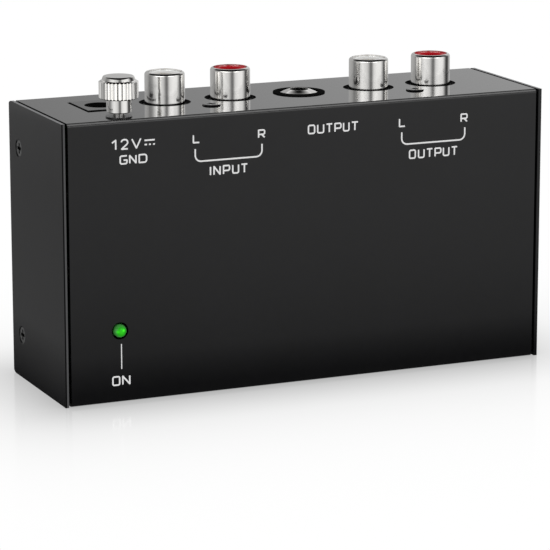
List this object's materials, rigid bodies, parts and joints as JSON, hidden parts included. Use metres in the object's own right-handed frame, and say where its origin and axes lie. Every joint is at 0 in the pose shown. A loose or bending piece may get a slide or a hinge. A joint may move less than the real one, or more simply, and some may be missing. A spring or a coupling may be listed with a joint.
{
  "type": "phono preamp",
  "caption": "Phono preamp in a bent sheet-steel case, with phono socket pairs, a small stereo socket, a power inlet, a knurled ground terminal and a lamp.",
  "frame": {"origin": "middle of the footprint on the surface it stands on, with the sockets up", "axes": "+Z out of the socket panel, -Y out of the label face, +X along the width towards the output pair"},
  "size_m": [0.106, 0.0354, 0.0654],
  "materials": {
    "cover_paint": "semi-gloss black paint",
    "base_paint": "semi-gloss black paint",
    "black_steel": "blackened",
    "bright_steel": "tinned",
    "chrome": "polished nickel plate",
    "rubber": "matte",
    "board": "satin solder mask",
    "black_plastic": "semi-gloss",
    "white_plastic": "semi-gloss",
    "red_plastic": "semi-gloss",
    "contact_brass": "plated",
    "green_wire": "satin",
    "green_lens": "clear gloss",
    "blue_sleeve": "gloss sleeve",
    "aluminium": "satin",
    "resistor_body": "satin"
  },
  "bodies": {
    "case": {"cover_shell": "cover_paint", "base_shell": "base_paint", "case_screws": "black_steel", "rubber_feet": "rubber", "circuit_board": "board", "board_standoffs": "bright_steel", "board_screws": "bright_steel", "input_block": "black_plastic", "input_shell_left": "chrome", "input_shell_right": "chrome", "input_insulator_left": "white_plastic", "input_insulator_right": "red_plastic", "input_contacts": "contact_brass", "output_block": "black_plastic", "output_shell_left": "chrome", "output_shell_right": "chrome", "output_insulator_left": "white_plastic", "output_insulator_right": "red_plastic", "output_contacts": "contact_brass", "panel_screws": "black_steel", "phone_body": "black_plastic", "phone_bush": "chrome", "phone_ring_nut": "black_plastic", "phone_springs": "contact_brass", "power_body": "black_plastic", "power_pin": "bright_steel", "power_spring": "contact_brass", "ground_nut": "contact_brass", "ground_tag": "bright_steel", "ground_wire": "green_wire", "lamp_lens": "green_lens", "lamp_leads": "bright_steel", "lamp_spacer": "black_plastic", "electrolytic_capacitors": "blue_sleeve", "capacitor_tops": "aluminium", "film_capacitors": "red_plastic", "amplifier_chips": "black_plastic", "chip_pins": "bright_steel", "voltage_regulator": "black_plastic", "resistors": "resistor_body"},
    "terminal_washer": {"ground_washer": "black_plastic"},
    "terminal_screw": {"ground_screw": "chrome"}
  },
  "joints": [
    {"name": "ground_lift", "type": "slide", "parent": "case", "child": "terminal_washer", "axis": [0, 0, 1], "range_m": [0, 0.003]},
    {"name": "ground_turn", "type": "hinge", "parent": "terminal_washer", "child": "terminal_screw", "pos_m": [-0.0396, -0.01305, 0.0576], "axis": [0, 0, 1], "range_deg": [0, 2160]}
  ],
  "couplings": [
    {"joint": "ground_turn", "follows": "ground_lift", "rad_per_m": 12566}
  ]
}
